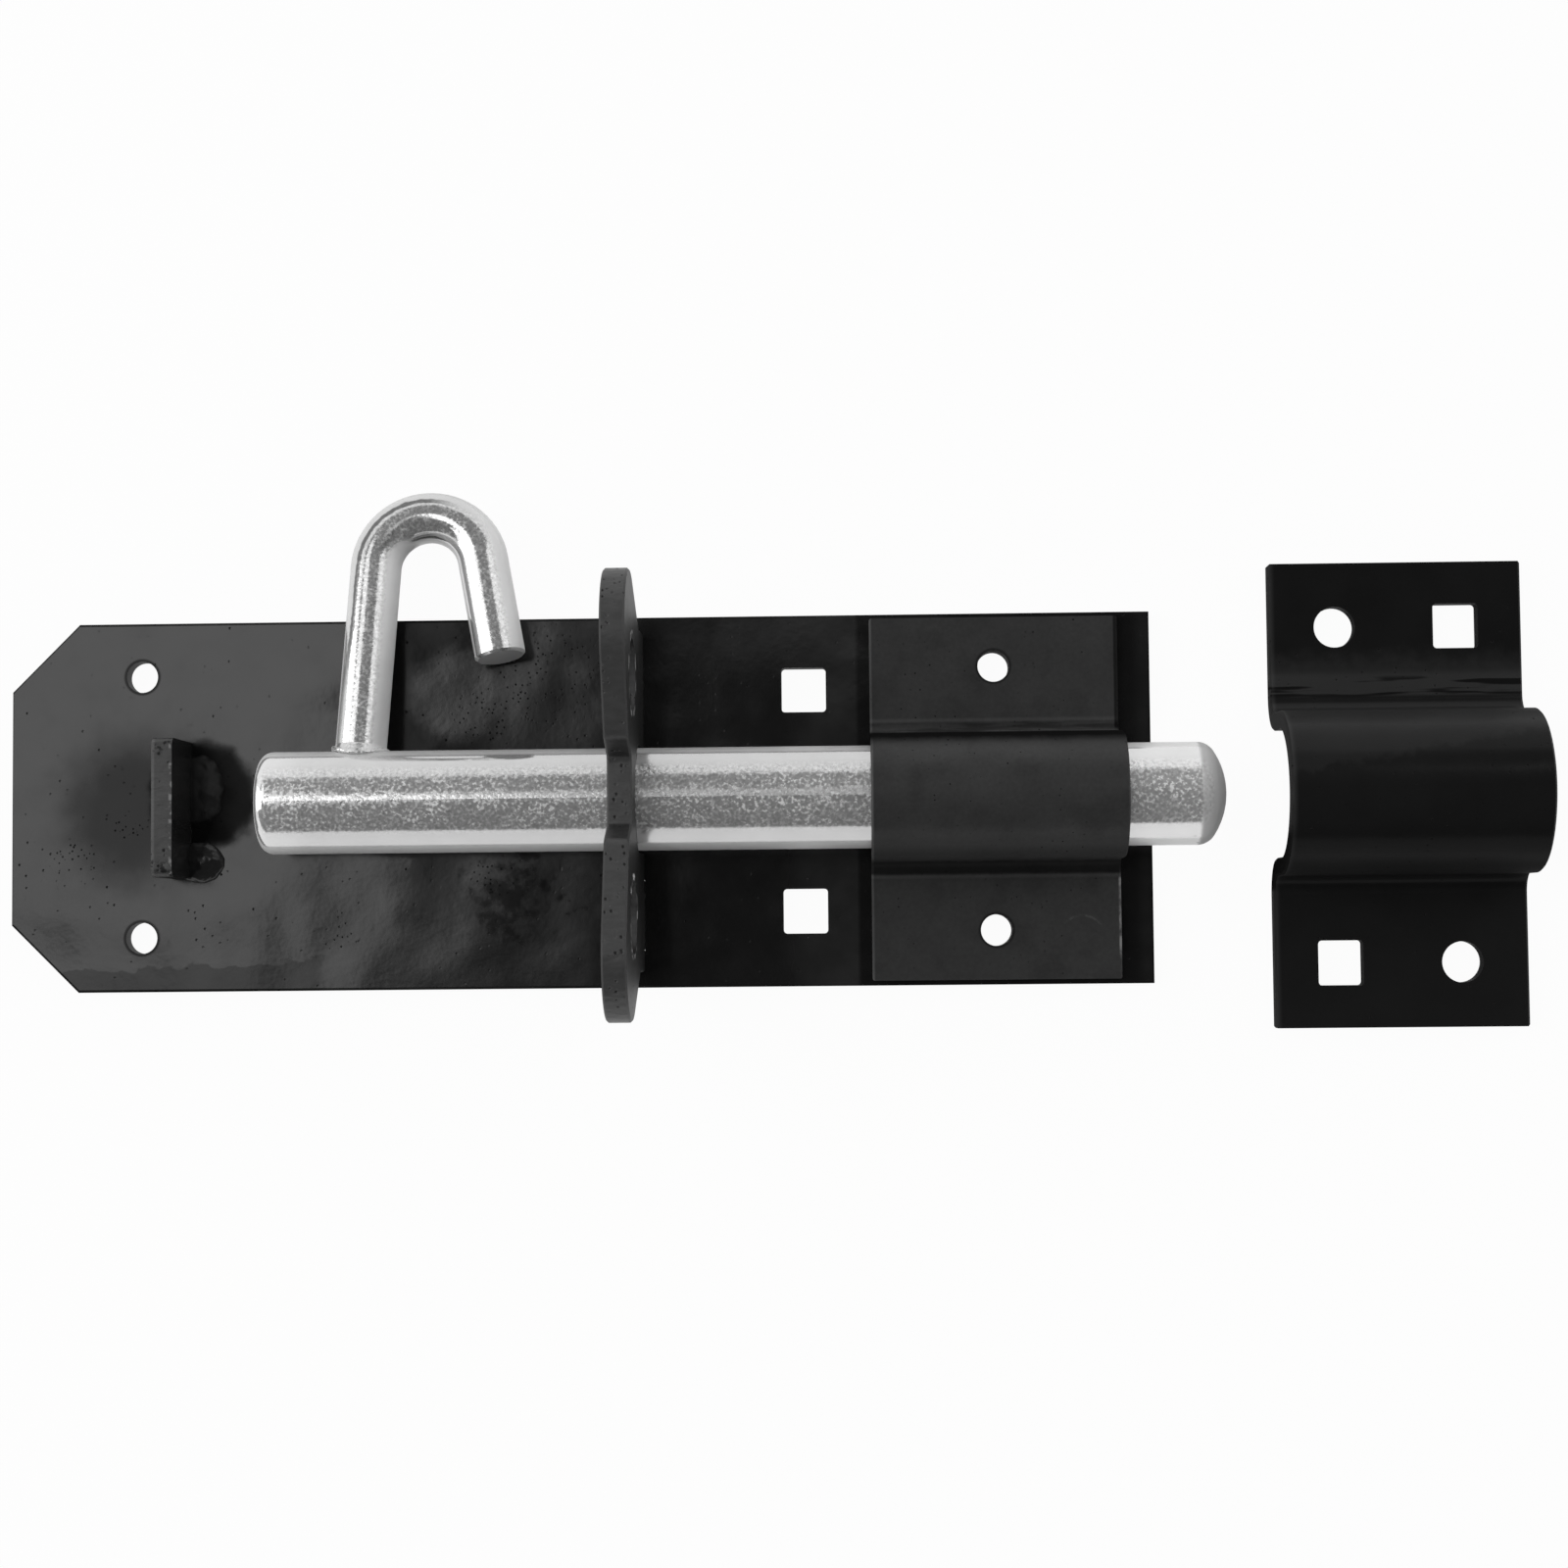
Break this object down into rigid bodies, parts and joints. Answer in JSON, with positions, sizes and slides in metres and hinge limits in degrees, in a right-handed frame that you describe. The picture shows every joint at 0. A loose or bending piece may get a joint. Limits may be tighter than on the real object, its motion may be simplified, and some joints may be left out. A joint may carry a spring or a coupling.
{
  "type": "padbolt",
  "caption": "Surface-mounted sliding padbolt with hooked handle, padlock ears on the guide plate, and a separate keep for the frame.",
  "frame": {"origin": "middle of the back plate's flat rear face, on the line of the bolt", "axes": "+X along the bolt towards the keep, +Y to the side on which the handle lies, +Z out of the door"},
  "size_m": [0.2408, 0.0865, 0.0377],
  "materials": {
    "black_paint": "gloss black paint over steel, with fine dust and runs",
    "bright_zinc": "bright zinc plate on drawn steel bar, finely spangled"
  },
  "bodies": {
    "plate": {"back_plate": "black_paint", "guide_plate": "black_paint", "bolt_strap": "black_paint", "stop_lug": "black_paint", "keep": "black_paint"},
    "bar": {"bolt_bar": "bright_zinc"},
    "handle": {"hook_handle": "bright_zinc"}
  },
  "joints": [
    {"name": "bolt_slide", "type": "slide", "parent": "plate", "child": "bar", "axis": [1, 0, 0], "range_m": [-0.0124, 0.014]},
    {"name": "handle_turn", "type": "hinge", "parent": "bar", "child": "handle", "pos_m": [-0.034, 0, 0.0119], "axis": [1, 0, 0], "range_deg": [0, 197]}
  ]
}
